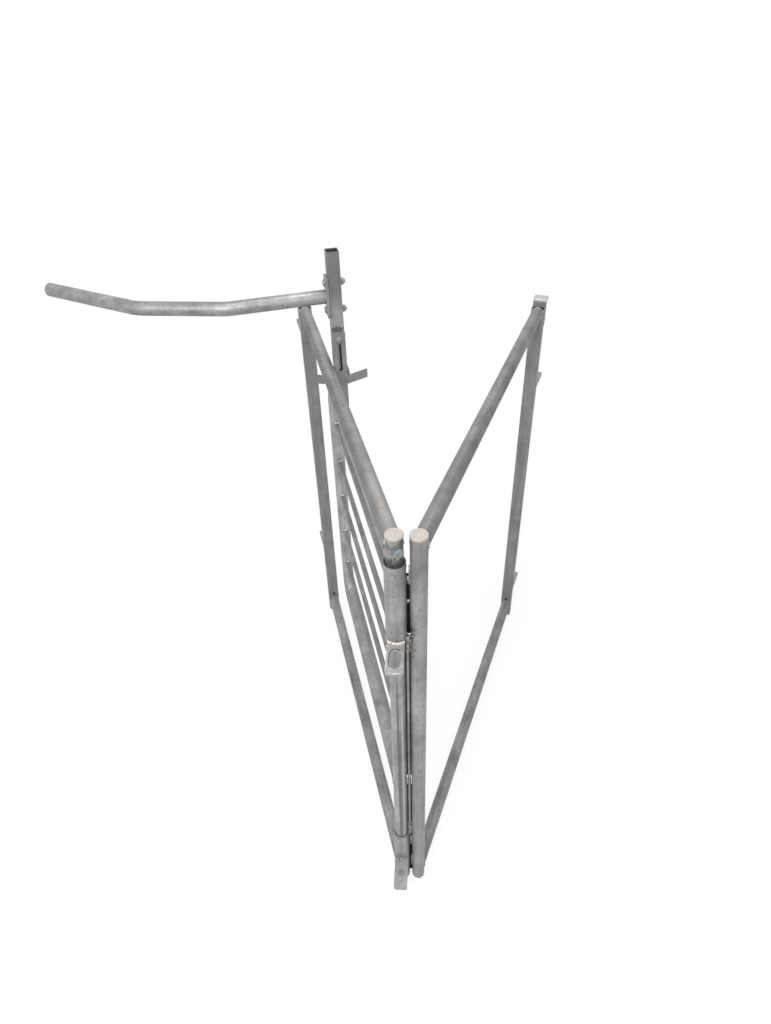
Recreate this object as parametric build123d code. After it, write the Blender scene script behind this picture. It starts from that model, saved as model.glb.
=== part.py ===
from build123d import *
import math
import os

# Livestock sorting gate: two hurdle frames stand in a V, and a short gate swings between them.
# Origin on the floor under the gate's pivot, +Y into the V along its middle, +Z up.
# Angles are azimuths in degrees, from +Y towards +X. A piece of a frame or of the gate is drawn
# along +X, on the line from its column to its far end, and is then turned to its azimuth.

# Round tube of the frames, of the gate's outline and of the handle
tube_d = 26.9
tube_wall = 2.3
tube_r = tube_d / 2
bore_r = tube_r - tube_wall

# The two frames
frame_top = 996.0
rail_top_z = 980.0
rail_bottom_z = 40.0
left_azimuth = -17.1
left_length = 858.0
right_azimuth = 17.0
right_length = 852.0
column_spacing = 35.5

# Flat-sided upright at each frame's far end
upright_across = 30.0
upright_deep = 20.0
upright_wall = 2.0
upright_corner = 3.0
upright_top = 990.0
drain_r = 4.0
drain_z = 66.0

# Flat strip and its pieces
strip_width = 30.0
strip_thick = 5.0
hook_rise = 16.0
hook_return = 25.0
hook_leg = 62.0
lug_reach = 68.0
peg_hole_r = 6.5
lug_hole_inset = 22.0
left_lug_heights = (926.0, 247.0)
right_lug_heights = (787.0, 100.0)

# Plastic caps
cap_r = 13.8
cap_thick = 4.0
cap_plug = 12.0
cap_fit = 0.15

# Pivot of the gate: a fixed pin above, a fixed cup below
pin_bottom = 850.0
sleeve_r = 16.85
sleeve_bore_r = 14.85
sleeve_top = 948.0
cup_top = 177.0
cup_floor_top = 5.0
pin_bolt_z = 974.0
pin_bolt_azimuth = 150.0
bolt_head_r = 8.0
bolt_head_high = 4.5
bolt_shank_r = 4.0
bolt_hole_fit = 0.2
pin_bolt_grip = 9.0

# Front plates on which a hurdle is pegged
plate_width = 28.0
foot_plate_top = 93.0
foot_plate_reach = 80.0
foot_hole_reach = 46.0
upper_plate_top = 790.0
upper_plate_reach = 77.0
slot_reach = 48.0
slot_width = 18.0
slot_length = 38.0
plate_corner = 5.0
plate_bore_fit = 0.6

# Fold hinge: a rod in the gap between the columns, ears on the left frame, knuckles on the right post
rod_x = column_spacing / 2
rod_r = 2.8
knuckle_r = 4.1
knuckle_fit = 0.3
knuckle_gap = 1.0
right_knuckle_high = (30.0, 36.0)
ear_end_r = 4.1
web_thick = 4.0
pad_heights = ((904.0, 940.0), (129.0, 164.0), (39.0, 81.0))
pad_width = 4.0
pad_room = 3.2

# How far a cutter runs past the piece it cuts
through_cut = 60.0

# The gate
gate_azimuth = -15.6
gate_length = 600.0
gate_fall = 0.077
gate_top_z = 935.0
gate_top_rear_z = 917.0
gate_top_offset = 4.5
gate_bottom_z = 369.0
gate_bend = 42.0
bar_r = 5.0
bar_heights = (873.0, 774.0, 677.0, 571.0, 468.0)
pivot_gap = 0.4
pivot_tube_top = 838.0
weld_ring_high = 8.0

# Square post, handle and drop latch
post_side = 25.0
post_wall = 2.0
post_reach = 588.0
post_offset = 16.0
post_bottom = 878.0
post_top = 1203.0
flange_high = 78.0
flange_z = 1116.0
flange_bolt_pitch = 54.0
handle_legs = (190.0, 175.0, 233.0)
handle_turns = (3.0, -20.0, -23.0)
handle_bend = 70.0
flange_bolt_r = 4.0
flange_head_r = 7.0
flange_head_high = 4.0

latch_top = 1047.0
latch_width = 26.0
latch_thick = 4.0
latch_gap = 0.4
latch_bolt_z = 1032.0
latch_slot_width = 7.6
latch_slot_drop = 72.0
latch_arm = 54.0
latch_arm_high = 18.0
latch_mid_z = 942.0
latch_arm_rise = 10.0
latch_bolt_r = 3.2
latch_head_r = 6.5
latch_head_high = 4.0
loop_bottom = 940.0
loop_high = 20.0
loop_thick = 3.0
loop_room = 5.5


def ring(outer, inner, low, high):
    """Upright tube on the Z axis."""
    body = Pos(0, 0, (low + high) / 2) * Cylinder(outer, high - low)
    return body - Pos(0, 0, (low + high) / 2) * Cylinder(inner, high - low + 2)


def disc(radius, low, high):
    """Upright solid cylinder on the Z axis."""
    return Pos(0, 0, (low + high) / 2) * Cylinder(radius, high - low)


def block(x, y, z):
    """Box between pairs of limits along X, Y and Z."""
    size = [pair[1] - pair[0] for pair in (x, y, z)]
    middle = [(pair[0] + pair[1]) / 2 for pair in (x, y, z)]
    return Pos(*middle) * Box(*size)


def rod_between(start, end, radius):
    """Solid round bar from one point to another."""
    a, b = Vector(*start), Vector(*end)
    run = b - a
    return extrude(Plane(origin=a, z_dir=run) * Circle(radius), run.length)


def tube_between(start, end, radius, wall):
    """Round tube from one point to another, open at both ends."""
    a, b = Vector(*start), Vector(*end)
    run = b - a
    face = Plane(origin=a, z_dir=run) * (Circle(radius) - Circle(radius - wall))
    return extrude(face, run.length)


def flat(width, length, thick, corner, holes=()):
    """Horizontal flat bar from the origin along +X, with its outer corners rounded."""
    outline = Pos(length / 2, 0) * Rectangle(length, width)
    outer = outline.vertices().filter_by(lambda v: v.X > length / 2)
    outline = fillet(outer, corner)
    for cut in holes:
        outline -= cut
    return extrude(outline, thick)


def turned(azimuth, part, at=(0, 0)):
    """A piece drawn along +X, turned to its azimuth about its column."""
    return Pos(at[0], at[1], 0) * Rot(0, 0, 90 - azimuth) * part


def save(name, part):
    """Writes one piece under its own name."""
    part.label = name
    export_step(part, f"parts/{name}.step")


column = disc(tube_r, -10, frame_top + 10)
sleeve_core = disc(sleeve_r, -10, frame_top + 10)


def post_cap():
    """Plastic cap with a rounded edge, and its plug inside the tube."""
    head = fillet(disc(cap_r, frame_top, frame_top + cap_thick).edges().sort_by(Axis.Z)[-1], 1.5)
    return head + disc(bore_r - cap_fit, frame_top - cap_plug, frame_top)


def rail(length, height, core):
    """Horizontal rail, coped to its column and square at the upright."""
    far = length - upright_deep / 2
    return tube_between((0, 0, height), (far, 0, height), tube_r, tube_wall) - core


def rear_upright(length):
    """Open-topped rectangular tube, with a drain hole in its front face."""
    outer = RectangleRounded(upright_deep, upright_across, upright_corner)
    inner = Rectangle(upright_deep - 2 * upright_wall, upright_across - 2 * upright_wall)
    tube = Pos(length, 0, 0) * extrude(outer - inner, upright_top)
    front = length - upright_deep / 2
    drain = Pos(front, 0, drain_z) * Rot(0, 90, 0) * Cylinder(drain_r, 3 * upright_wall)
    return tube - drain


def hook_strip(length):
    """Strip up the upright's back that turns outwards above its top."""
    back = length + upright_deep / 2
    top = upright_top + hook_rise
    path = Polyline(
        (back, top - hook_leg),
        (back, top),
        (back + hook_return, top),
        (back + hook_return, top - strip_thick),
        (back + strip_thick, top - strip_thick),
        (back + strip_thick, top - hook_leg),
        close=True,
    )
    face = make_face(Plane.XZ * path)
    strip = extrude(face, strip_width / 2, both=True)
    upper = strip.edges().filter_by(Axis.Y).sort_by(Axis.Z)
    corner = [e for e in upper if abs(e.center().X - back) < 0.1 and abs(e.center().Z - top) < 0.1]
    return fillet(corner, strip_thick * 0.8)


def lug(length, height):
    """Peg plate behind the upright."""
    back = length + upright_deep / 2
    hole = Pos(lug_reach - lug_hole_inset, 0) * Circle(peg_hole_r)
    return Pos(back, 0, height) * flat(strip_width, lug_reach, strip_thick, plate_corner, [hole])


def frame_pieces(side, azimuth, length, at, core, lugs):
    """The pieces that both frames have."""
    save(f"{side}_top_rail", turned(azimuth, rail(length, rail_top_z, column), at))
    save(f"{side}_bottom_rail", turned(azimuth, rail(length, rail_bottom_z, core), at))
    save(f"{side}_rear_upright", turned(azimuth, rear_upright(length), at))
    save(f"{side}_hook_strip", turned(azimuth, hook_strip(length), at))
    save(f"{side}_upper_lug", turned(azimuth, lug(length, lugs[0]), at))
    save(f"{side}_lower_lug", turned(azimuth, lug(length, lugs[1]), at))
    save(f"{side}_post_cap", Pos(at[0], at[1], 0) * post_cap())


def dome_bolt(head_r, head_high, shank_r, grip):
    """Dome-headed bolt on +Z, with the underside of its head at the origin."""
    head = fillet(disc(head_r, 0, head_high).edges().sort_by(Axis.Z)[-1], head_high * 0.75)
    return head + disc(shank_r, -grip, 0)


def pin_bolt_place():
    """Place of the bolt in the pin: its head lies against the tube, outwards."""
    angle = math.radians(pin_bolt_azimuth)
    out = Vector(math.sin(angle), math.cos(angle), 0)
    return Plane(origin=out * tube_r + Vector(0, 0, pin_bolt_z), z_dir=out)


def pivot_pieces():
    """Fixed pin, cup and front plates of the left column."""
    hole = pin_bolt_place() * disc(bolt_shank_r + bolt_hole_fit, -pin_bolt_grip, 5)
    save("left_pivot_pin", ring(tube_r, bore_r, pin_bottom, frame_top) - hole)
    save("left_pin_bolt", pin_bolt_place() * dome_bolt(bolt_head_r, bolt_head_high, bolt_shank_r, 6.0))
    floor = disc(sleeve_bore_r, 0, cup_floor_top)
    save("left_pivot_cup", ring(sleeve_r, sleeve_bore_r, 0, cup_top) + floor)
    hole = Pos(foot_hole_reach, 0) * Circle(peg_hole_r)
    foot = flat(plate_width, foot_plate_reach, strip_thick, plate_corner, [hole])
    foot = Pos(0, 0, foot_plate_top - strip_thick) * foot - sleeve_core
    save("left_foot_plate", turned(180, foot))
    slot = Pos(slot_reach, 0) * SlotOverall(slot_length, slot_width)
    tongue = flat(plate_width, upper_plate_reach, strip_thick, plate_corner, [slot])
    tongue = turned(180, Pos(0, 0, upper_plate_top - strip_thick) * tongue)
    low = upper_plate_top - strip_thick
    save("left_upper_plate", rod_ear(low, upper_plate_top) + tongue - disc(tube_r + plate_bore_fit, low - 5, low + 20))


def rod_ear(low, high):
    """Collar round the left column with an ear that holds the hinge rod."""
    outline = Circle(sleeve_r) + Pos(rod_x / 2, 0) * Rectangle(rod_x, 2 * ear_end_r)
    outline += Pos(rod_x, 0) * Circle(ear_end_r)
    ear = Pos(0, 0, low) * extrude(outline, high - low)
    return ear - Pos(rod_x, 0, 0) * disc(rod_r, low - 5, high + 5)


def hinge_pieces():
    """Rod and lower ear of the left frame, and the right post's knuckles and pads."""
    ear_low = cup_top
    ear_high = ear_low + strip_thick
    save("fold_rod", Pos(rod_x, 0, 0) * disc(rod_r, ear_low, upper_plate_top))
    ear = rod_ear(ear_low, ear_high)
    save("left_lower_ear", ear - disc(sleeve_bore_r, ear_low - 5, ear_high + 5))
    post = Pos(column_spacing, 0, 0) * column
    under_plate = upper_plate_top - strip_thick - knuckle_gap
    over_ear = ear_high + knuckle_gap
    spans = (
        (under_plate - right_knuckle_high[0], under_plate),
        (over_ear, over_ear + right_knuckle_high[1]),
    )
    for number, (low, high) in enumerate(spans, 1):
        weld = block((rod_x, column_spacing), (-web_thick / 2, web_thick / 2), (low, high))
        knuckle = Pos(rod_x, 0, 0) * disc(knuckle_r, low, high) + weld
        knuckle -= Pos(rod_x, 0, 0) * disc(rod_r + knuckle_fit, low - 5, high + 5)
        save(f"right_knuckle_{number}", knuckle - post)
    for number, (low, high) in enumerate(pad_heights, 1):
        pad = block((sleeve_r + pad_room, column_spacing), (-pad_width / 2, pad_width / 2), (low, high))
        save(f"right_pad_{number}", pad - post)


def gate_line(reach, height):
    """Point of the gate's plane at a distance from its pivot; the members fall to the rear."""
    return (reach, 0, height - gate_fall * reach)


def gate_tubes():
    """Sleeve, pivot tube and the bent outline tube in its straight and bent stretches."""
    sleeve_low = upper_plate_top + pivot_gap
    sleeve = ring(sleeve_r, sleeve_bore_r, sleeve_low, sleeve_top)
    sleeve += ring(sleeve_bore_r, tube_r, sleeve_low, sleeve_low + weld_ring_high)
    save("gate_sleeve", turned(gate_azimuth, sleeve))
    tube = ring(tube_r, bore_r, cup_floor_top + pivot_gap, pivot_tube_top)
    save("gate_pivot_tube", turned(gate_azimuth, tube))

    top = top_run(tube_r) - top_run(bore_r) - sleeve_core
    save("gate_top_tube", turned(gate_azimuth, top))
    bottom = tube_between((0, 0, gate_bottom_z), bottom_end(), tube_r, tube_wall) - column
    save("gate_bottom_tube", turned(gate_azimuth, bottom))
    save("gate_rear_tube", turned(gate_azimuth, rear_run(tube_r) - rear_run(bore_r)))


def top_run(radius):
    """Solid of the outline tube's top stretch, up to its rear bend."""
    inset = gate_length - gate_bend
    start = Vector(0, -gate_top_offset, gate_top_z)
    end = Vector(inset, 0, gate_top_rear_z)
    beyond = end + (end - start) * (tube_d / inset)
    run = rod_between(tuple(start), tuple(beyond), radius)
    return run - block((inset, gate_length + tube_d), (-tube_d, tube_d), (0, frame_top))


def bottom_end():
    """Point at which the outline tube's bottom stretch meets its rear bend."""
    fall = math.atan(gate_fall)
    tangent = gate_bend * math.tan((math.pi / 2 + fall) / 2)
    return gate_line(gate_length - tangent * math.cos(fall), gate_bottom_z)


def rear_run(radius):
    """Solid of the outline tube's rear stretch with both bends."""
    fall = math.atan(gate_fall)
    inset = gate_length - gate_bend
    low_z = gate_line(gate_length, gate_bottom_z)[2] + gate_bend * math.tan((math.pi / 2 + fall) / 2)
    high_z = gate_top_rear_z - gate_bend
    turn = 90 + math.degrees(fall)
    lower = CenterArc((inset, low_z), gate_bend, -turn, turn)
    side = Line((gate_length, low_z), (gate_length, high_z))
    upper = CenterArc((inset, high_z), gate_bend, 0, 90)
    start = Plane(origin=bottom_end(), z_dir=(math.cos(fall), 0, -math.sin(fall)))
    return sweep(start * Circle(radius), path=Plane.XZ * (lower + side + upper))


def gate_bars():
    """Round bars from the column to the rear tube, all falling alike."""
    rear = disc(tube_r, 0, frame_top)
    for number, height in enumerate(bar_heights, 1):
        core = sleeve_core if height > upper_plate_top else column
        bar = rod_between(gate_line(0, height), gate_line(gate_length, height), bar_r)
        bar = bar - core - Pos(gate_length, 0, 0) * rear
        save(f"gate_bar_{number}", turned(gate_azimuth, bar))


def square_post():
    """Open-topped square tube beside the outline tube's rear bend, coped round it."""
    outer = RectangleRounded(post_side, post_side, 2.5)
    inner = Rectangle(post_side - 2 * post_wall, post_side - 2 * post_wall)
    post = Pos(0, 0, post_bottom) * extrude(outer - inner, post_top - post_bottom)
    return Pos(post_reach, -post_offset, 0) * post


def post_pieces():
    """Square post, handle with its flange, and the bolts of both."""
    post = square_post() - rear_run(tube_r) - top_run(tube_r)
    half = flange_bolt_pitch / 2
    near_face = -post_offset + post_side / 2
    bolts = []
    for lift in (-half, half):
        at = Plane(origin=(post_reach, near_face + strip_thick, flange_z + lift), z_dir=(0, 1, 0))
        post -= at * disc(flange_bolt_r + bolt_hole_fit, -through_cut, 5)
        bolts.append(at)
    latch_face = post_reach - post_side / 2
    latch_at = Plane(origin=(latch_face, -post_offset, latch_bolt_z), z_dir=(-1, 0, 0))
    post -= latch_at * disc(latch_bolt_r + bolt_hole_fit, -6, 5)
    save("gate_square_post", turned(gate_azimuth, post))

    flange = block(
        (post_reach - strip_width / 2, post_reach + strip_width / 2),
        (near_face, near_face + strip_thick),
        (flange_z - flange_high / 2, flange_z + flange_high / 2),
    )
    for number, at in enumerate(bolts, 1):
        flange -= at * disc(flange_bolt_r + bolt_hole_fit, -through_cut, 5)
        bolt = dome_bolt(flange_head_r, flange_head_high, flange_bolt_r, post_side + strip_thick + 9)
        nut = RegularPolygon(flange_head_r, 6)
        nut = extrude(nut, flange_bolt_r * 1.5)
        bolt += Pos(0, 0, -post_side - strip_thick - flange_bolt_r * 1.5) * nut
        save(f"handle_bolt_{number}", turned(gate_azimuth, at * bolt))
    save("handle_flange", turned(gate_azimuth, flange))
    save("handle_tube", turned(gate_azimuth, handle(near_face + strip_thick)))

    bolt = dome_bolt(latch_head_r, latch_head_high, latch_bolt_r, latch_thick + 2 * latch_gap + 6)
    washer_side = latch_thick + 2 * latch_gap
    head_at = Plane(origin=(latch_face - washer_side, -post_offset, latch_bolt_z), z_dir=(-1, 0, 0))
    save("latch_bolt", turned(gate_azimuth, head_at * bolt))


def handle(start_y):
    """Bent tube in a horizontal plane, square off the flange and then turning to the rear."""
    points = [Vector(post_reach, start_y, flange_z)]
    heading = 90.0 + handle_turns[0]
    for leg, turn in zip(handle_legs, (0.0, *handle_turns[1:])):
        heading += turn
        step = Vector(math.cos(math.radians(heading)), math.sin(math.radians(heading)), 0)
        points.append(points[-1] + step * leg)
    path = FilletPolyline(*points, radius=handle_bend)
    section = Plane(origin=points[0], z_dir=points[1] - points[0]) * (Circle(tube_r) - Circle(bore_r))
    tube = sweep(section, path=path, transition=Transition.ROUND)
    room = block((post_reach - 40, post_reach + 40), (start_y - 20, start_y), (flange_z - 40, flange_z + 40))
    return tube - room


def latch_pieces():
    """Slotted latch plate with its shallow V, and the loop that guides it round the post."""
    face = post_reach - post_side / 2 - latch_gap
    low = latch_mid_z - latch_arm_high / 2
    plate = Pos(0, (latch_top + low) / 2) * Rectangle(latch_width, latch_top - low)
    rise = latch_arm_rise
    tip = latch_mid_z + rise
    arms = Polyline(
        (-latch_arm, tip - latch_arm_high / 2),
        (-latch_width / 2, low),
        (latch_width / 2, low),
        (latch_arm, tip - latch_arm_high / 2),
        (latch_arm, tip + latch_arm_high / 2),
        (latch_width / 2, low + latch_arm_high),
        (-latch_width / 2, low + latch_arm_high),
        (-latch_arm, tip + latch_arm_high / 2),
        close=True,
    )
    slot_middle = latch_bolt_z + latch_slot_width / 2 - latch_slot_drop / 2
    slot = Pos(0, slot_middle) * Rot(0, 0, 90) * SlotOverall(latch_slot_drop, latch_slot_width)
    shape = plate + make_face(arms) - slot
    place = Plane(origin=(face, -post_offset, 0), x_dir=(0, -1, 0), z_dir=(-1, 0, 0))
    plate = extrude(place * shape, latch_thick)
    save("latch_plate", turned(gate_azimuth, plate))

    half = post_side / 2 + loop_room
    back = post_reach + post_side / 2 + loop_room - face
    outer = Pos(0, 0) * Rectangle(back * 2, 2 * half)
    inner = Rectangle((back - loop_thick) * 2, 2 * (half - loop_thick))
    strap = fillet(outer.vertices(), 8) - fillet(inner.vertices(), 5)
    strap = extrude(strap, loop_high)
    strap = Pos(face, -post_offset, loop_bottom) * strap
    strap -= block((face - through_cut, face), (-through_cut, through_cut), (loop_bottom - 1, loop_bottom + loop_high + 1))
    save("latch_loop", turned(gate_azimuth, strap))


os.makedirs("parts", exist_ok=True)
frame_pieces("left", left_azimuth, left_length, (0, 0), sleeve_core, left_lug_heights)
frame_pieces("right", right_azimuth, right_length, (column_spacing, 0), column, right_lug_heights)
save("right_post", Pos(column_spacing, 0, 0) * ring(tube_r, bore_r, 0, frame_top))
pivot_pieces()
hinge_pieces()
gate_tubes()
gate_bars()
post_pieces()
latch_pieces()
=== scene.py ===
import math
import random

import bpy
from mathutils import Matrix, Vector


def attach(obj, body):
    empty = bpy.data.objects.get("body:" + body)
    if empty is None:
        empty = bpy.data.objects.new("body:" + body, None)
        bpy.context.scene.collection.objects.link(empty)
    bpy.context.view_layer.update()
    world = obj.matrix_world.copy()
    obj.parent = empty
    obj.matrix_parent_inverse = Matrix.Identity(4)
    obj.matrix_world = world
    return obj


# Livestock sorting gate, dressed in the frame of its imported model: the origin is at the foot of the
# left column, Z is up and Y points into the V. Lengths are in metres, angles in degrees.

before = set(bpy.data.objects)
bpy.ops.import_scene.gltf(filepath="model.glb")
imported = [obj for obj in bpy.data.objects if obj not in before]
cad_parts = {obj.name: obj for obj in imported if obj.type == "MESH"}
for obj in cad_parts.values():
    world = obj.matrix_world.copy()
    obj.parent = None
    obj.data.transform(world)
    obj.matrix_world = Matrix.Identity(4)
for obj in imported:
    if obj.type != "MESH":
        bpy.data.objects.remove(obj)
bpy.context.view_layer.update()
dice = random.Random(11)

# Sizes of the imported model
TUBE_R = 0.01345
COLUMN_SPACING = 0.0355
LEFT = {"azimuth": -17.1, "at": (0.0, 0.0), "length": 0.858, "lugs": (0.926, 0.247)}
RIGHT = {"azimuth": 17.0, "at": (COLUMN_SPACING, 0.0), "length": 0.852, "lugs": (0.787, 0.100)}
FRAMES = (("left_frame", LEFT), ("right_frame", RIGHT))
RAIL_HEIGHTS = (0.980, 0.040)
CAP_TOP = 1.000
UPRIGHT_HALF = 0.010
UPRIGHT_TOP = 0.990
DRAIN_Z = 0.066
STRIP_HALF = 0.015
STRIP_THICK = 0.005
HOOK_RETURN = 0.025
SLEEVE_R = 0.01685
SLEEVE_TOP = 0.948
CUP_TOP = 0.177
PLATE_TOP = 0.790
SLOT_REACH = 0.048
SLOT_HALF_WIDTH = 0.009
SLOT_HALF_LENGTH = 0.019
FOOT_PLATE_TOP = 0.093
FOOT_HOLE_REACH = 0.046
GATE = {"azimuth": -15.6, "at": (0.0, 0.0), "length": 0.600}
GATE_TOP = 0.935
GATE_BOTTOM = 0.369
GATE_FALL = 0.077
BAR_R = 0.005
BAR_HEIGHTS = (0.873, 0.774, 0.677, 0.571, 0.468)
POST_REACH = 0.588
POST_OFFSET = 0.016
POST_HALF = 0.0125
POST_TOP = 1.203
LATCH_GAP = 0.0004
LATCH_THICK = 0.004

# Camera of the photograph, found from the straight members of the object
CAMERA_AT = (0.0542, -0.7624, 1.6446)
CAMERA_HEADING = -4.85
CAMERA_DOWN = 38.4
CAMERA_ROLL = -1.99
CAMERA_LENS = 25.16
CAMERA_SENSOR = 36
CAMERA_REACH = 200

# Sockets of a colour mix
MIX_FIRST, MIX_SECOND, MIX_RESULT = 6, 7, 2

# Weld beads: points in a ring, ripple depth and thickness of open ends as shares of the radius
BEAD_SIDES = 8
RIPPLE_DEPTH = 0.16
RIPPLE_LENGTH = 0.0032
END_SHARE = 0.35

# Corners of the faces of a box
BOX_FACES = ((0, 2, 3, 1), (4, 5, 7, 6), (0, 1, 5, 4), (1, 3, 7, 5), (3, 2, 6, 7), (2, 0, 4, 6))

# Dark webs of painted shade in the gap between the columns, from the low to the high value of each axis
ROD_WEB = {"x": (0.0129, 0.0223), "y": (0.0050, 0.0058)}
ROD_WEB_HEIGHTS = ((0.180, 0.352), (0.386, 0.775))
BESIDE_ROD = ((0.0141, 0.0156), (0.0199, 0.0213))
BESIDE_ROD_WEB = {"y": (-0.0018, -0.0012), "z": (0.350, 0.388)}
POST_WEB = {"x": (0.0163, 0.0240), "y": (0.0060, 0.0068)}
POST_WEB_HEIGHTS = ((0.789, 0.919), (0.003, 0.176))
MOUTH_RING_R = 0.0143

# Weld crust on the pads: the left edge and the heights of each patch, and a lump on the first pad
CRUST_RIGHT = 0.0223
CRUST_DEPTH = (-0.0010, 0.0008)
CRUST_PATCHES = ((0.0174, (0.904, 0.9195)), (0.0174, (0.864, 0.871)), (0.0178, (0.130, 0.165)))
CRUST_LUMP = {"x": (0.0202, 0.0226), "y": (-0.0026, -0.0010), "z": (0.9190, 0.9405)}

# Specks on the right column: their number, their span in degrees, and their range of heights
SPECKS = 26
SPECK_SPAN = (196, 246)
SPECKS_LOW = PLATE_TOP - 0.052
SPECKS_HIGH = PLATE_TOP + 0.045

CAP_RIM_R = 0.0121


def placed(spot, s, t, z):
    """World point from the distance along a frame, to its right, and the height."""
    a = math.radians(spot["azimuth"])
    x0, y0 = spot["at"]
    return Vector((x0 + s * math.sin(a) + t * math.cos(a), y0 + s * math.cos(a) - t * math.sin(a), z))


# Materials


def grey(level, warm=0.0):
    """Neutral grey as a linear colour, a little warmer or cooler."""
    return (level * (1 + warm), level, level * (1 - warm))


class Nodes:
    """Short way to add and join the nodes of one material."""

    def __init__(self, name):
        self.material = bpy.data.materials.new(name)
        self.material.use_nodes = True
        self.tree = self.material.node_tree
        self.tree.nodes.clear()
        self.out = self.add("ShaderNodeOutputMaterial")
        self.shader = self.add("ShaderNodeBsdfPrincipled")
        self.tree.links.new(self.shader.outputs[0], self.out.inputs["Surface"])
        self.coords = self.add("ShaderNodeTexCoord")
        self.turn = 0.0

    def add(self, kind, **settings):
        node = self.tree.nodes.new(kind)
        for key, value in settings.items():
            setattr(node, key, value)
        return node

    def link(self, source, target):
        self.tree.links.new(source, target)

    def stretched(self, scale=(1, 1, 1)):
        """Object coordinates turned so that Y runs along the member, then stretched."""
        turned = self.add("ShaderNodeMapping")
        turned.inputs["Rotation"].default_value = (0, 0, self.turn)
        self.link(self.coords.outputs["Object"], turned.inputs["Vector"])
        mapping = self.add("ShaderNodeMapping")
        mapping.inputs["Scale"].default_value = scale
        self.link(turned.outputs["Vector"], mapping.inputs["Vector"])
        return mapping.outputs["Vector"]

    def across(self, centre, half):
        """0 to 1 from one side of the member to the other; centre is its axis on the turned X."""
        parts = self.add("ShaderNodeSeparateXYZ")
        self.link(self.stretched(), parts.inputs[0])
        place = self.add("ShaderNodeMapRange")
        place.inputs["From Min"].default_value = centre - half
        place.inputs["From Max"].default_value = centre + half
        self.link(parts.outputs["X"], place.inputs["Value"])
        return place.outputs["Result"]

    def noise(self, scale, detail=3.0, rough=0.55, stretch=(1, 1, 1)):
        node = self.add("ShaderNodeTexNoise")
        node.inputs["Scale"].default_value = scale
        node.inputs["Detail"].default_value = detail
        node.inputs["Roughness"].default_value = rough
        self.link(self.stretched(stretch), node.inputs["Vector"])
        return node.outputs["Fac"]

    def cells(self, scale):
        """A random colour for each cell, as in the spangle of zinc."""
        node = self.add("ShaderNodeTexVoronoi")
        node.inputs["Scale"].default_value = scale
        self.link(self.stretched(), node.inputs["Vector"])
        return node.outputs["Color"]

    def ramp(self, factor, stops):
        node = self.add("ShaderNodeValToRGB")
        ramp = node.color_ramp
        while len(ramp.elements) < len(stops):
            ramp.elements.new(0.5)
        for element, (place, colour) in zip(ramp.elements, stops):
            element.position = place
            element.color = (*colour, 1)
        self.link(factor, node.inputs["Fac"])
        return node.outputs["Color"]

    def between(self, factor, low, high, start=0.3, end=0.7):
        """Grey that runs from low to high while the factor runs from start to end."""
        return self.ramp(factor, [(start, grey(low)), (end, grey(high))])

    def mix(self, factor, first, second, mode="MIX"):
        node = self.add("ShaderNodeMix", data_type="RGBA", blend_type=mode)
        sockets = (node.inputs["Factor"], node.inputs[MIX_FIRST], node.inputs[MIX_SECOND])
        for value, socket in zip((factor, first, second), sockets):
            if isinstance(value, (int, float)):
                socket.default_value = value
            elif isinstance(value, tuple):
                socket.default_value = (*value, 1)
            else:
                self.link(value, socket)
        return node.outputs[MIX_RESULT]

    def patch(self, place, reach, strength, ragged):
        """Mask round a place; reach is its half-size in x, y and z, and ragged is 0 for an even edge."""
        moved = self.add("ShaderNodeVectorMath", operation="SUBTRACT")
        moved.inputs[1].default_value = place
        self.link(self.coords.outputs["Object"], moved.inputs[0])
        scaled = self.add("ShaderNodeVectorMath", operation="DIVIDE")
        scaled.inputs[1].default_value = reach
        self.link(moved.outputs["Vector"], scaled.inputs[0])
        length = self.add("ShaderNodeVectorMath", operation="LENGTH")
        self.link(scaled.outputs["Vector"], length.inputs[0])
        if not ragged:
            return self.between(length.outputs["Value"], strength, 0.0, start=0.55, end=1.0)
        uneven = self.add("ShaderNodeMath", operation="MULTIPLY_ADD")
        self.link(self.noise(scale=150.0, detail=4.0, rough=0.7), uneven.inputs[0])
        uneven.inputs[1].default_value = ragged
        self.link(length.outputs["Value"], uneven.inputs[2])
        half = self.add("ShaderNodeMath", operation="MULTIPLY")
        half.inputs[1].default_value = 0.5
        self.link(uneven.outputs[0], half.inputs[0])
        return self.between(half.outputs[0], strength, 0.0, start=0.86, end=1.0)

    def bump(self, height, strength, distance):
        node = self.add("ShaderNodeBump")
        node.inputs["Strength"].default_value = strength
        node.inputs["Distance"].default_value = distance
        self.link(height, node.inputs["Height"])
        self.link(node.outputs["Normal"], self.shader.inputs["Normal"])

    def surface(self, colour, rough, metallic):
        self.link(colour, self.shader.inputs["Base Color"])
        self.link(rough, self.shader.inputs["Roughness"])
        self.shader.inputs["Metallic"].default_value = metallic
        return self.material


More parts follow.
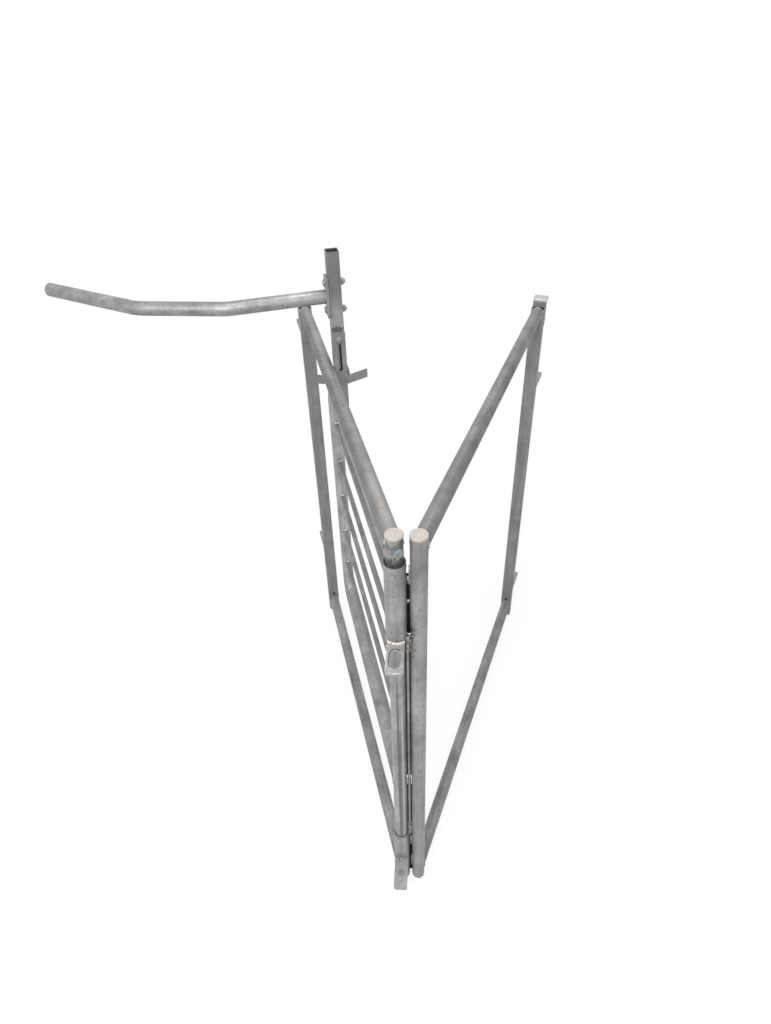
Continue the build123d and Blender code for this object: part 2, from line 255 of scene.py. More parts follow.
def galvanised(
    name, level, warm=0.01, heading=None, metallic=0.3, contrast=1.0, pitted=0.31, marks=(), painted_shading=None
):
    """Dull hot-dip zinc: spangle, cloudy patches, drawn streaks, dark pits, marks at known places, and
    painted shade and highlight across a member.
    """
    n = Nodes(name)
    n.turn = 0.0 if heading is None else math.radians(heading)
    along = (2.0, 2.0, 0.16) if heading is None else (2.0, 0.16, 2.0)
    cloud = n.noise(scale=14.0, detail=5.0, rough=0.65)
    dim = grey(level * (1 - 0.26 * contrast), warm)
    bright = grey(level * (1 + 0.26 * contrast), warm * 0.5)
    base = n.ramp(cloud, [(0.30, dim), (0.50, grey(level, warm)), (0.70, bright)])
    streak = n.noise(scale=42.0, detail=3.0, rough=0.6, stretch=along)
    dull, shiny = grey(1 - 0.20 * contrast), grey(1 + 0.14 * contrast)
    streaks = n.ramp(streak, [(0.30, dull), (0.52, grey(1.0)), (0.70, shiny)])
    base = n.mix(1.0, base, streaks, "MULTIPLY")
    spangle = n.between(n.cells(scale=150.0), 0.88, 1.10, start=0.0, end=1.0)
    base = n.mix(0.8, base, spangle, "MULTIPLY")
    scratch = n.noise(scale=120.0, detail=2.0, rough=0.5, stretch=along)
    base = n.mix(n.between(scratch, 0.55, 0.0, start=0.27, end=0.31), base, grey(level * 0.45))
    pits = n.noise(scale=240.0, detail=2.0, rough=0.5)
    base = n.mix(n.between(pits, 1.0, 0.0, start=pitted - 0.05, end=pitted), base, grey(level * 0.25))
    stain = n.noise(scale=16.0, detail=5.0, rough=0.7)
    rusty = (level * 1.05, level * 0.84, level * 0.66)
    base = n.mix(n.between(stain, 0.0, 0.5, start=0.62, end=0.78), base, rusty)
    for place, reach, colour, strength, ragged in marks:
        base = n.mix(n.patch(place, reach, strength, ragged), base, colour)
    # Painted shade on the member's sides and a painted highlight along it, multiplied into the colour
    if painted_shading:
        centre, shares = painted_shading
        side = n.ramp(n.across(centre, TUBE_R), [(place, grey(share)) for place, share in shares])
        base = n.mix(1.0, base, side, "MULTIPLY")
    rough = n.between(cloud, 0.58, 0.34, start=0.25, end=0.75)
    n.bump(n.noise(scale=420.0, detail=3.0, rough=0.6), strength=0.35, distance=0.0006)
    return n.surface(base, rough, metallic)


def weld_metal():
    """Zinc-coated weld bead: mottled from bright to dark, with brown in its hollows."""
    n = Nodes("weld_metal")
    patch = n.noise(scale=190.0, detail=4.0, rough=0.7)
    dark, brown = (0.055, 0.045, 0.035), (0.23, 0.20, 0.17)
    dull, bright = (0.46, 0.45, 0.43), (0.74, 0.72, 0.70)
    base = n.ramp(patch, [(0.33, dark), (0.45, brown), (0.60, dull), (0.72, bright)])
    n.bump(patch, strength=0.6, distance=0.0008)
    return n.surface(base, n.between(patch, 0.65, 0.35), metallic=0.45)


def pale_bead_and_highlight():
    """Pale weld with dark gaps, as on the front plate; also painted highlights on the plate's edges and the
    uprights' mouths.
    """
    n = Nodes("pale_bead_and_highlight")
    patch = n.noise(scale=230.0, detail=3.0, rough=0.6)
    base = n.ramp(patch, [(0.34, (0.16, 0.13, 0.11)), (0.44, (0.66, 0.61, 0.57)), (0.62, (0.90, 0.86, 0.82))])
    n.bump(patch, strength=0.6, distance=0.0008)
    return n.surface(base, n.between(patch, 0.6, 0.4), metallic=0.2)


def zinc_bolt():
    """Zinc-plated fastener, bluish and smoother."""
    n = Nodes("zinc_bolt")
    cloud = n.noise(scale=120.0, detail=4.0, rough=0.6)
    base = n.ramp(cloud, [(0.3, (0.18, 0.215, 0.235)), (0.6, (0.27, 0.31, 0.335)), (0.8, (0.36, 0.40, 0.42))])
    n.bump(cloud, strength=0.3, distance=0.0005)
    return n.surface(base, n.between(cloud, 0.7, 0.52), metallic=0.35)


def cap_plastic():
    """Pale moulded plastic with faint scuffs and dust."""
    n = Nodes("cap_plastic")
    cloud = n.noise(scale=90.0, detail=4.0, rough=0.6)
    scuffed, plain, clean = (0.45, 0.39, 0.355), (0.51, 0.455, 0.42), (0.55, 0.495, 0.46)
    base = n.ramp(cloud, [(0.25, scuffed), (0.5, plain), (0.75, clean)])
    speck = n.noise(scale=520.0, detail=2.0, rough=0.5)
    base = n.mix(n.between(speck, 1.0, 0.0, start=0.28, end=0.33), base, (0.42, 0.35, 0.30))
    n.bump(speck, strength=0.15, distance=0.0004)
    return n.surface(base, n.between(cloud, 0.62, 0.48), metallic=0.0)


def shade_and_mark_zinc():
    """Near-black zinc: painted shade in hollows and gaps, from which hardly any light comes back, and dark
    specks and lines.
    """
    n = Nodes("zinc_for_shade_and_marks")
    cloud = n.noise(scale=90.0, detail=4.0, rough=0.6)
    base = n.ramp(cloud, [(0.3, (0.010, 0.009, 0.008)), (0.7, (0.030, 0.028, 0.026))])
    n.shader.inputs["Specular IOR Level"].default_value = 0.15
    return n.surface(base, n.between(cloud, 0.95, 0.8), metallic=0.0)


# Marks on the zinc, seen in the photograph


DARK = (0.035, 0.032, 0.03)
BROWN = (0.20, 0.145, 0.10)
PALE = (0.62, 0.60, 0.58)
PINKISH = (0.40, 0.33, 0.29)
SHADED = grey(0.135)
EVEN = 0.0


def mark(place, reach, colour, strength, ragged=3.2):
    """A coloured patch: its middle, its half-size in x, y and z, and how ragged its edge is."""
    return place, reach, colour, strength, ragged


def hook_top_highlight(spot):
    """Painted highlight on the returned top of a hook strip, which faces up."""
    middle = placed(spot, spot["length"] + HOOK_RETURN, 0, UPRIGHT_TOP + 0.014)
    return [mark(middle, (0.024, 0.024, 0.010), PALE, 0.75, EVEN)]


PIN_MARKS = [
    mark((0, 0, 0.954), (0.03, 0.03, 0.014), DARK, 0.85, 2.3),
    mark((0, 0, 0.984), (0.03, 0.03, 0.010), DARK, 0.45, 2.7),
]
# Painted shade: a dark ring at the sleeve's mouth, and a ragged painted shadow on the sleeve just above the
# upper plate
SLEEVE_MARKS = [
    mark((0, 0, SLEEVE_TOP), (0.03, 0.03, 0.0010), DARK, 0.8, EVEN),
    mark((0, -0.012, PLATE_TOP + 0.006), (0.020, 0.012, 0.012), DARK, 0.6),
]
# Painted shade: a dark ring at the cup's mouth
CUP_MARKS = [mark((0, 0, CUP_TOP), (0.03, 0.03, 0.0013), DARK, 0.92, EVEN)]
RIGHT_POST_MARKS = [
    mark((0.024, -0.006, 0.800), (0.009, 0.012, 0.045), DARK, 0.9),
    mark((0.028, -0.010, 0.775), (0.009, 0.010, 0.035), BROWN, 0.7),
    mark((0.033, -0.013, 0.760), (0.010, 0.010, 0.050), PINKISH, 0.5),
]
# A pinkish stain, and a painted highlight along the top of the left rail
LEFT_RAIL_MARKS = [
    mark(placed(LEFT, 0.075, 0, 0.990), (0.012, 0.035, 0.02), PINKISH, 0.6),
    mark(placed(LEFT, 0.10, 0.002, 0.993), (0.05, 0.12, 0.016), PALE, 0.20, EVEN),
]
# Painted shade darkening the top of the square post, and a ragged painted shadow just above the latch plate
SQUARE_POST_MARKS = [
    mark(placed(GATE, POST_REACH, POST_OFFSET, 1.18), (0.2, 0.2, 0.10), SHADED, 0.75, EVEN),
    mark(placed(GATE, 0.575, POST_OFFSET, 1.052), (0.026, 0.026, 0.008), DARK, 0.7, 2.4),
]
# A brown stain, and painted shade darkening the wall of the foot plate's hole
FOOT_PLATE_MARKS = [
    mark((0, -0.018, FOOT_PLATE_TOP), (0.016, 0.007, 0.01), BROWN, 0.7),
    mark((0, -FOOT_HOLE_REACH, FOOT_PLATE_TOP - STRIP_THICK / 2), (0.0082, 0.0082, 0.02), DARK, 0.95, EVEN),
]
# Lines down the front of the pivot tube: two darker, one lighter
PIVOT_TUBE_MARKS = [
    mark((-0.0005, -0.0134, 0.44), (0.0016, 0.004, 0.19), (0.10, 0.10, 0.105), 0.8, 0.8),
    mark((0.0035, -0.0130, 0.33), (0.0022, 0.004, 0.15), (0.13, 0.13, 0.14), 0.75, 0.8),
    mark((0.0070, -0.0115, 0.36), (0.0014, 0.004, 0.20), (0.55, 0.55, 0.55), 0.6, 0.8),
]

# Painted shade on the sides of the top rails, and a painted highlight along the left one: the axis on the
# turned X, then shares of brightness from left to right
LEFT_RAIL_SHADING = (0.0, [(0.0, 0.62), (0.18, 0.74), (0.42, 1.14), (0.62, 1.08), (1.0, 0.80)])
RIGHT_AXIS = COLUMN_SPACING * math.cos(math.radians(RIGHT["azimuth"]))
RIGHT_RAIL_SHADING = (RIGHT_AXIS, [(0.0, 0.88), (0.35, 0.95), (0.55, 0.99), (0.70, 0.76), (1.0, 0.64)])

MATERIALS = {
    "left_pivot_pin": galvanised("galvanised_pin", 0.265, 0.008, contrast=1.6, pitted=0.37, marks=PIN_MARKS),
    "gate_sleeve": galvanised("galvanised_sleeve", 0.312, 0.016, pitted=0.345, marks=SLEEVE_MARKS),
    "left_pivot_cup": galvanised("galvanised_cup", 0.315, 0.012, marks=CUP_MARKS),
    "gate_pivot_tube": galvanised(
        "galvanised_pivot", 0.333, 0.006, contrast=1.5, pitted=0.33, marks=PIVOT_TUBE_MARKS),
    "right_post": galvanised("galvanised_post", 0.31, 0.012, pitted=0.335, marks=RIGHT_POST_MARKS),
    "left_top_rail": galvanised(
        "galvanised_left_rail", 0.25, 0.018, LEFT["azimuth"], 0.35,
        pitted=0.32, marks=LEFT_RAIL_MARKS, painted_shading=LEFT_RAIL_SHADING),
    "left_bottom_rail": galvanised(
        "galvanised_left_low", 0.245, 0.0, LEFT["azimuth"], contrast=1.3, pitted=0.35),
    "right_top_rail": galvanised(
        "galvanised_right_rail", 0.245, 0.008, RIGHT["azimuth"], 0.35,
        contrast=1.2, pitted=0.32, painted_shading=RIGHT_RAIL_SHADING),
    "right_bottom_rail": galvanised(
        "galvanised_right_low", 0.25, 0.0, RIGHT["azimuth"], contrast=1.4, pitted=0.34),
    "left_hook_strip": galvanised("galvanised_left_hook", 0.30, 0.012, marks=hook_top_highlight(LEFT)),
    "right_hook_strip": galvanised("galvanised_right_hook", 0.30, 0.012, marks=hook_top_highlight(RIGHT)),
    "left_rear_upright": galvanised("galvanised_left_box", 0.238, -0.022, contrast=0.8),
    "right_rear_upright": galvanised("galvanised_right_box", 0.26, 0.01, contrast=0.9),
    "gate_square_post": galvanised("galvanised_square", 0.34, 0.002, contrast=0.7, marks=SQUARE_POST_MARKS),
    "gate_rear_tube": galvanised("galvanised_rear", 0.38, -0.002, contrast=1.4, pitted=0.34),
    "handle_tube": galvanised("galvanised_handle", 0.31, -0.006, 85.0, 0.6, 1.3, pitted=0.33),
    "left_foot_plate": galvanised("galvanised_foot", 0.39, 0.012, contrast=0.6, marks=FOOT_PLATE_MARKS),
    "left_upper_plate": galvanised("galvanised_plate", 0.42, 0.012, contrast=0.7),
    "latch_plate": galvanised("galvanised_latch", 0.275, 0.008, contrast=0.8, pitted=0.33),
}
TUBE = galvanised("galvanised_tube", 0.29, 0.008)
BAR = galvanised("galvanised_bar", 0.215, 0.0, GATE["azimuth"], pitted=0.33)
FLAT = galvanised("galvanised_flat", 0.30, 0.012)
WELD = weld_metal()
PALE_BEADS_AND_HIGHLIGHTS = pale_bead_and_highlight()
BOLT = zinc_bolt()
CAP = cap_plastic()
PAINTED_SHADE_AND_MARKS = shade_and_mark_zinc()


def material_of(node):
    """Finish of a node: its own, or that of what it is made from."""
    if node in MATERIALS:
        return MATERIALS[node]
    if node.endswith("cap"):
        return CAP
    if "bolt" in node:
        return BOLT
    if "bar_" in node:
        return BAR
    if "knuckle" in node or "pad" in node:
        return WELD
    if any(word in node for word in ("strip", "lug", "plate", "flange", "loop", "ear")):
        return FLAT
    return TUBE


for name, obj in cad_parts.items():
    obj.data.materials.clear()
    obj.data.materials.append(material_of(name))


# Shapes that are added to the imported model


class Shape:
    """Points and faces of one added piece, made from rippled beads and boxes."""

    def __init__(self):
        self.points = []
        self.faces = []

    def bead(self, path, radius, closed=True):
        """Rippled bead along a path; each ring of points is a little uneven."""
        sides = BEAD_SIDES
        count = len(path)
        start = len(self.points)
        run = 0.0
        for i, point in enumerate(path):
            ahead = path[(i + 1) % count] if closed or i + 1 < count else point
            behind = path[i - 1] if closed or i > 0 else point
            along = (ahead - behind).normalized()
            side = along.orthogonal().normalized()
            up = along.cross(side)
            run += (point - behind).length if i else 0.0
            ripple = RIPPLE_DEPTH * math.sin(run * 2 * math.pi / RIPPLE_LENGTH)
            size = radius * (1 + ripple + dice.uniform(-RIPPLE_DEPTH, RIPPLE_DEPTH))
            if not closed and i in (0, count - 1):
                size *= END_SHARE
            for k in range(sides):
                turn = 2 * math.pi * k / sides
                self.points.append(point + (side * math.cos(turn) + up * math.sin(turn)) * size)
        for i in range(count if closed else count - 1):
            a = start + i * sides
            b = start + ((i + 1) % count) * sides
            for k in range(sides):
                m = (k + 1) % sides
                self.faces.append((a + k, a + m, b + m, b + k))
        if not closed:
            self.faces.append(tuple(start + k for k in reversed(range(sides))))
            end = start + (count - 1) * sides
            self.faces.append(tuple(end + k for k in range(sides)))

    def box(self, x, y, z):
        """Upright box between the low and the high value of each axis."""
        start = len(self.points)
        self.points += [Vector((px, py, pz)) for pz in z for py in y for px in x]
        self.faces += [tuple(start + k for k in face) for face in BOX_FACES]

    def finish(self, name, body, material):
        mesh = bpy.data.meshes.new(name)
        mesh.from_pydata([tuple(p) for p in self.points], [], self.faces)
        mesh.validate()
        mesh.shade_smooth()
        mesh.materials.append(material)
        obj = bpy.data.objects.new(name, mesh)
        bpy.context.scene.collection.objects.link(obj)
        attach(obj, body)


def saddle(spot, height, radius, core, fall=0.0, far=None, steps=40, span=(0, 360)):
    """Seam of a tube against an upright tube: at the column, or at far on the rear side."""
    path = []
    for i in range(steps):
        turn = math.radians(span[0] + (span[1] - span[0]) * i / steps)
        t = radius * math.cos(turn)
        reach = math.sqrt(max(core * core - t * t, 0.0))
        s = reach if far is None else far - reach
        path.append(placed(spot, s, t, height + radius * math.sin(turn) - fall * s))
    return path


def ring_at(spot, s, height, radius, steps=40):
    """Seam of a tube against a flat face square to its frame."""
    turns = [2 * math.pi * i / steps for i in range(steps)]
    return [placed(spot, s, radius * math.cos(a), height + radius * math.sin(a)) for a in turns]


def circle(radius, height, x=0.0, steps=48):
    """Level ring round the axis of a column."""
    turns = [2 * math.pi * i / steps for i in range(steps)]
    return [Vector((x + radius * math.cos(a), radius * math.sin(a), height)) for a in turns]


def seam(start, end, step=0.0016):
    """Straight seam, divided finely enough for its ripples."""
    count = max(3, int((end - start).length / step))
    return [start.lerp(end, i / count) for i in range(count + 1)]


def front_arc(radius, height, half_turn, steps=26):
    """Seam round the front of the left column."""
    turns = [math.radians(180 - half_turn + 2 * half_turn * i / steps) for i in range(steps + 1)]
    return [Vector((radius * math.sin(a), radius * math.cos(a), height)) for a in turns]


# Welds


def frame_beads(beads, spot, foot_core):
    """Seams that both hurdle frames have: rails, lugs and hook strip."""
    for height, core in zip(RAIL_HEIGHTS, (TUBE_R, foot_core)):
        beads.bead(saddle(spot, height, TUBE_R, core), radius=0.0017)
        beads.bead(ring_at(spot, spot["length"] - UPRIGHT_HALF, height, TUBE_R), radius=0.0016)
    back = spot["length"] + UPRIGHT_HALF
    for height in spot["lugs"]:
        for z in (height, height + STRIP_THICK):
            ends = [placed(spot, back + 0.0006, side * (STRIP_HALF - 0.002), z) for side in (-1, 1)]
            beads.bead(seam(*ends), radius=0.0015, closed=False)
    for side in (-1, 1):
        edge = side * STRIP_HALF * 0.97
        low = placed(spot, back, edge, UPRIGHT_TOP - 0.040)
        high = placed(spot, back, edge, UPRIGHT_TOP - 0.006)
        beads.bead(seam(low, high), radius=0.0012, closed=False)


def left_frame_welds():
    """Seams of the left frame and of its foot plate."""
    beads = Shape()
    frame_beads(beads, LEFT, SLEEVE_R)
    on_cup = SLEEVE_R + 0.0004
    beads.bead(front_arc(on_cup, FOOT_PLATE_TOP + 0.0002, half_turn=50), radius=0.0016, closed=False)
    beads.bead(front_arc(on_cup, FOOT_PLATE_TOP - STRIP_THICK, half_turn=50), radius=0.0014, closed=False)
    beads.finish("left_frame_welds", "left_frame", WELD)


def upper_plate_weld():
    """The pale seam between the sleeve and the upper plate."""
    beads = Shape()
    beads.bead(front_arc(SLEEVE_R + 0.0016, PLATE_TOP + 0.0008, half_turn=48), radius=0.0021, closed=False)
    beads.finish("upper_plate_weld", "left_frame", PALE_BEADS_AND_HIGHLIGHTS)


def right_frame_welds():
    """Seams of the right frame."""
    beads = Shape()
    frame_beads(beads, RIGHT, TUBE_R)
    beads.finish("right_frame_welds", "right_frame", WELD)


def gate_welds():
    """Seams of the gate's bars and tubes; those of the two tubes leave out the side of the right column."""
    beads = Shape()
    for height in BAR_HEIGHTS:
        core = SLEEVE_R if height > PLATE_TOP else TUBE_R
        beads.bead(saddle(GATE, height, BAR_R, core, GATE_FALL, steps=22), radius=0.0013)
        beads.bead(saddle(GATE, height, BAR_R, TUBE_R, GATE_FALL, GATE["length"], steps=22), radius=0.0022)
    bottom = saddle(GATE, GATE_BOTTOM, TUBE_R, TUBE_R, GATE_FALL, span=(65, 295))
    beads.bead(bottom, radius=0.0017, closed=False)
    top = saddle(GATE, GATE_TOP, TUBE_R, SLEEVE_R, span=(75, 285))
    beads.bead(top, radius=0.0015, closed=False)
    beads.finish("gate_welds", "gate", WELD)


# The gap between the columns


def gap_webs():
    """Dark webs of painted shade behind the fold rod and the pads: the photograph shows no light through the
    gap.
    """
    rod_web = Shape()
    for z in ROD_WEB_HEIGHTS:
        rod_web.box(**ROD_WEB, z=z)
    for x in BESIDE_ROD:
        rod_web.box(x=x, **BESIDE_ROD_WEB)
    rod_web.finish("rod_web", "left_frame", PAINTED_SHADE_AND_MARKS)
    post_web = Shape()
    for z in POST_WEB_HEIGHTS:
        post_web.box(**POST_WEB, z=z)
    post_web.finish("post_web", "right_frame", PAINTED_SHADE_AND_MARKS)


def mouth_rings():
    """Painted shade: a dark inner edge in the mouths of the cup and of the sleeve."""
    rings = Shape()
    for top in (CUP_TOP, SLEEVE_TOP):
        rings.bead(circle(MOUTH_RING_R, top - 0.0008), radius=0.00042)
    rings.finish("mouth_rings", "left_frame", PAINTED_SHADE_AND_MARKS)


def post_spatter():
    """Dark specks on the right column, thickest at the height of the upper plate."""
    specks = Shape()
    skin = TUBE_R + 0.00005
    for _ in range(SPECKS):
        turn = math.radians(dice.uniform(*SPECK_SPAN))
        z = min(SPECKS_HIGH, max(SPECKS_LOW, dice.gauss(PLATE_TOP, 0.022)))
        foot = Vector((COLUMN_SPACING + skin * math.cos(turn), skin * math.sin(turn), z))
        speck = seam(foot, foot + Vector((0, 0, dice.uniform(0.001, 0.004))), step=0.0008)
        specks.bead(speck, radius=dice.uniform(0.0005, 0.0012), closed=False)
    specks.finish("post_spatter", "right_frame", PAINTED_SHADE_AND_MARKS)


def pad_crust():
    """Weld crust on the pads, and short beads up the front of the first one."""
    crust = Shape()
    for left, z in CRUST_PATCHES:
        crust.box(x=(left, CRUST_RIGHT), y=CRUST_DEPTH, z=z)
    crust.box(**CRUST_LUMP)
    for millimetres in range(906, 938, 4):
        start = Vector((0.0214 + dice.uniform(-0.0003, 0.0003), -0.0022, millimetres / 1000))
        crust.bead(seam(start, start + Vector((0.0010, 0, 0.003)), step=0.001), radius=0.0009, closed=False)
    crust.finish("pad_crust", "right_frame", WELD)


# Details of the plates, the caps and the rear ends


def slot_line(turns):
    """Part of a line just outside the slot; turns run in degrees from the right-hand side."""
    half_width = SLOT_HALF_WIDTH + 0.0005
    straight = SLOT_HALF_LENGTH - SLOT_HALF_WIDTH
    path = []
    for turn in turns:
        a = math.radians(turn)
        y = -SLOT_REACH + math.copysign(straight, math.sin(a)) + half_width * math.sin(a)
        path.append(Vector((half_width * math.cos(a), y, PLATE_TOP + 0.0002)))
    return path


def plate_marks():
    """Dark worn line round the rear of the upper plate's slot, and painted highlights along the plate's left
    and front edges.
    """
    line = Shape()
    line.bead(slot_line(range(38, 222, 8)), radius=0.00055, closed=False)
    line.finish("slot_line", "left_frame", PAINTED_SHADE_AND_MARKS)
    edge = Shape()
    left_x, front_y, edge_z = -0.0136, -0.0763, PLATE_TOP - 0.0002
    left = seam(Vector((left_x, -0.020, edge_z)), Vector((left_x, -0.071, edge_z)))
    edge.bead(left, radius=0.0007, closed=False)
    front = seam(Vector((-0.010, front_y, edge_z)), Vector((0.010, front_y, edge_z)))
    edge.bead(front, radius=0.0006, closed=False)
    edge.finish("upper_plate_glint", "left_frame", PALE_BEADS_AND_HIGHLIGHTS)


def cap_rims():
    """Moulded rim of each cap."""
    for name, (body, spot) in zip(("left_cap_rim", "right_cap_rim"), FRAMES):
        rim = Shape()
        rim.bead(circle(CAP_RIM_R, CAP_TOP - 0.0002, x=spot["at"][0]), radius=0.0005)
        rim.finish(name, body, CAP)


def bar_weld_blobs():
    """Bright blobs where the gate's bars end on the rear tube."""
    blobs = Shape()
    s = GATE["length"] - TUBE_R - 0.0015
    for height in BAR_HEIGHTS:
        for t in (-0.0042, 0.0005):
            start = placed(GATE, s, t, height - GATE_FALL * s + 0.0058)
            blob = seam(start, start + Vector((0.0040, 0.0, 0.0008)), step=0.001)
            blobs.bead(blob, radius=0.0021, closed=False)
    blobs.finish("bar_weld_blobs", "gate", PALE_BEADS_AND_HIGHLIGHTS)


def upright_mouth_highlights():
    """Painted highlights on the rim of each rear upright's mouth, as pale beads."""
    for body, spot in FRAMES:
        crown = Shape()
        s = spot["length"] - UPRIGHT_HALF - 0.0012
        for t in (-0.0125, 0.0085):
            start = placed(spot, s, t, UPRIGHT_TOP - 0.003)
            end = placed(spot, s, t + 0.004, UPRIGHT_TOP - 0.005)
            crown.bead(seam(start, end, step=0.001), radius=0.0019, closed=False)
        crown.finish(body + "_mouth_glint", body, PALE_BEADS_AND_HIGHLIGHTS)


def dark_block(name, body, spot, along, across, height):
    """Block of shadowed zinc, square to a frame. Its faces are reversed, as placed() mirrors it."""
    block = Shape()
    block.box(along, across, height)
    block.points = [placed(spot, *point) for point in block.points]
    block.faces = [face[::-1] for face in block.faces]
    block.finish(name, body, PAINTED_SHADE_AND_MARKS)


def around(middle, half):
    """Low and high value on both sides of a middle."""
    return middle - half, middle + half


def dark_insides():
    """Shadow in the square post's mouth, the latch plate's slot, the uprights and the drain holes."""
    along, across = around(POST_REACH, 0.0104), around(POST_OFFSET, 0.0104)
    dark_block("post_inside", "gate", GATE, along, across, (POST_TOP - 0.013, POST_TOP - 0.0018))
    face = POST_REACH - POST_HALF - LATCH_GAP - LATCH_THICK
    left, right = POST_OFFSET - 0.0003, POST_OFFSET + 0.0026
    dark_block("slot_shadow", "latch", GATE, (face + 0.0014, face + 0.0038), (left, right), (0.966, 1.020))
    foot = around(POST_OFFSET, 0.0030)
    dark_block("slot_foot", "latch", GATE, (face + 0.0008, face + 0.0038), foot, (0.9585, 0.966))
    for body, spot in FRAMES:
        wall = spot["length"] - UPRIGHT_HALF
        mouth = (UPRIGHT_TOP - 0.010, UPRIGHT_TOP - 0.0015)
        dark_block(body + "_mouth", body, spot, (wall + 0.0026, wall + 0.0174), around(0, 0.0124), mouth)
        drain = around(DRAIN_Z, 0.0027)
        dark_block(body + "_drain", body, spot, (wall + 0.0006, wall + 0.0016), around(0, 0.0027), drain)


# In this order, which is also the order of the random draws
for add_detail in (
    left_frame_welds, upper_plate_weld, right_frame_welds, gate_welds, gap_webs, mouth_rings, post_spatter,
    pad_crust, plate_marks, cap_rims, bar_weld_blobs, upright_mouth_highlights, dark_insides,
):
    add_detail()


# Floor, light and camera


FLOOR_SIZE = 80
FLOOR_DROP = 0.0005
FLOOR_GREY = (0.5, 0.5, 0.5, 1)
# The lit part of the floor falls off away from the lamps, so the white part grows to make up for it
WHITE_SHARE = 0.68
WHITE_GROWTH = {"From Min": 1.0, "From Max": 6.0, "To Min": 1.25, "To Max": 1.36}
HORIZON = (0.12, 0.12, 0.12, 1)
ZENITH = (0.77, 0.78, 0.79, 1)
ZENITH_FROM = 0.85
WHITE = (1, 1, 1, 1)


def backdrop_rays(tree):
    """1 for the rays that should meet the white background: camera, glossy and transmission."""
    path = tree.nodes.new("ShaderNodeLightPath")
    total = path.outputs["Is Camera Ray"]
    for kind in ("Is Glossy Ray", "Is Transmission Ray"):
        adding = tree.nodes.new("ShaderNodeMath")
        adding.operation = "ADD"
        adding.use_clamp = True
        tree.links.new(total, adding.inputs[0])
        tree.links.new(path.outputs[kind], adding.inputs[1])
        total = adding.outputs[0]
    return total


def stage_floor():
    """Pale floor that looks white to the camera and in reflections, and keeps a soft shadow."""
    bpy.ops.mesh.primitive_plane_add(size=FLOOR_SIZE, location=(0, 0, -FLOOR_DROP))
    floor = bpy.context.object
    floor.name = "floor"
    n = Nodes("floor_white")
    n.shader.inputs["Base Color"].default_value = FLOOR_GREY
    n.shader.inputs["Roughness"].default_value = 0.9
    white = n.add("ShaderNodeEmission")
    distance = n.add("ShaderNodeVectorMath", operation="LENGTH")
    n.link(n.coords.outputs["Object"], distance.inputs[0])
    growing = n.add("ShaderNodeMapRange")
    for socket, value in WHITE_GROWTH.items():
        growing.inputs[socket].default_value = value
    n.link(distance.outputs["Value"], growing.inputs["Value"])
    n.link(growing.outputs["Result"], white.inputs["Strength"])
    share = n.add("ShaderNodeMath", operation="MULTIPLY")
    share.inputs[1].default_value = WHITE_SHARE
    n.link(backdrop_rays(n.tree), share.inputs[0])
    blend = n.add("ShaderNodeMixShader")
    n.link(share.outputs[0], blend.inputs[0])
    n.link(n.shader.outputs[0], blend.inputs[1])
    n.link(white.outputs[0], blend.inputs[2])
    n.link(blend.outputs[0], n.out.inputs["Surface"])
    floor.data.materials.append(n.material)


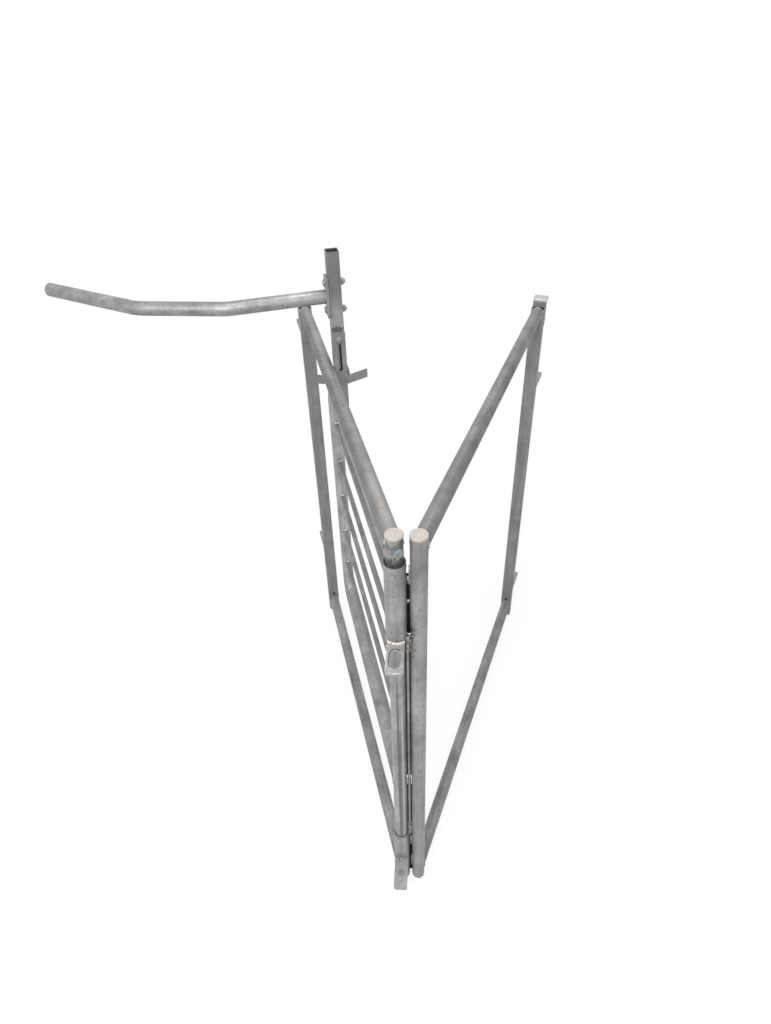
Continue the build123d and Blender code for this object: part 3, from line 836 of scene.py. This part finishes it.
def studio_world():
    """Light that grows paler towards the zenith; camera and reflections see plain white."""
    world = bpy.data.worlds.new("studio")
    bpy.context.scene.world = world
    world.use_nodes = True
    tree = world.node_tree
    tree.nodes.clear()
    out = tree.nodes.new("ShaderNodeOutputWorld")
    light = tree.nodes.new("ShaderNodeBackground")
    light.inputs["Strength"].default_value = 1.0
    coords = tree.nodes.new("ShaderNodeTexCoord")
    parts = tree.nodes.new("ShaderNodeSeparateXYZ")
    tree.links.new(coords.outputs["Generated"], parts.inputs[0])
    shade = tree.nodes.new("ShaderNodeValToRGB")
    horizon, zenith = shade.color_ramp.elements
    horizon.position = 0.0
    horizon.color = HORIZON
    zenith.position = ZENITH_FROM
    zenith.color = ZENITH
    tree.links.new(parts.outputs["Z"], shade.inputs["Fac"])
    tree.links.new(shade.outputs["Color"], light.inputs["Color"])
    seen = tree.nodes.new("ShaderNodeBackground")
    seen.inputs["Color"].default_value = WHITE
    seen.inputs["Strength"].default_value = 1.0
    mix = tree.nodes.new("ShaderNodeMixShader")
    tree.links.new(backdrop_rays(tree), mix.inputs[0])
    tree.links.new(light.outputs[0], mix.inputs[1])
    tree.links.new(seen.outputs[0], mix.inputs[2])
    tree.links.new(mix.outputs[0], out.inputs["Surface"])


def area_lamp(name, place, aim, size, power):
    """Soft square lamp at a place, turned to a point."""
    lamp = bpy.data.lights.new(name, "AREA")
    lamp.shape = "SQUARE"
    lamp.size = size
    lamp.energy = power
    obj = bpy.data.objects.new(name, lamp)
    obj.location = place
    obj.rotation_euler = (Vector(aim) - Vector(place)).to_track_quat("-Z", "Y").to_euler()
    bpy.context.scene.collection.objects.link(obj)


def studio_camera():
    """The photograph's camera: heading, tilt and a slight roll."""
    heading, down, roll = (math.radians(v) for v in (CAMERA_HEADING, CAMERA_DOWN, CAMERA_ROLL))
    level = Vector((math.sin(heading), math.cos(heading), 0))
    right = Vector((math.cos(heading), -math.sin(heading), 0))
    forward = level * math.cos(down) - Vector((0, 0, math.sin(down)))
    up = level * math.sin(down) + Vector((0, 0, math.cos(down)))
    x_axis = right * math.cos(roll) + up * math.sin(roll)
    y_axis = up * math.cos(roll) - right * math.sin(roll)
    turn = Matrix((x_axis, y_axis, -forward)).transposed().to_4x4()
    data = bpy.data.cameras.new("camera")
    data.sensor_width = CAMERA_SENSOR
    data.lens = CAMERA_LENS
    data.clip_end = CAMERA_REACH
    camera = bpy.data.objects.new("camera", data)
    camera.matrix_world = Matrix.Translation(CAMERA_AT) @ turn
    bpy.context.scene.collection.objects.link(camera)
    bpy.context.scene.camera = camera


stage_floor()
studio_world()
area_lamp("key", place=(-0.5, -2.0, 2.6), aim=(0, 0.2, 0.6), size=1.3, power=61)
area_lamp("top", place=(0.0, 0.5, 3.4), aim=(0, 0.4, 0.6), size=1.2, power=17)
studio_camera()
bpy.context.scene.view_settings.view_transform = "Standard"
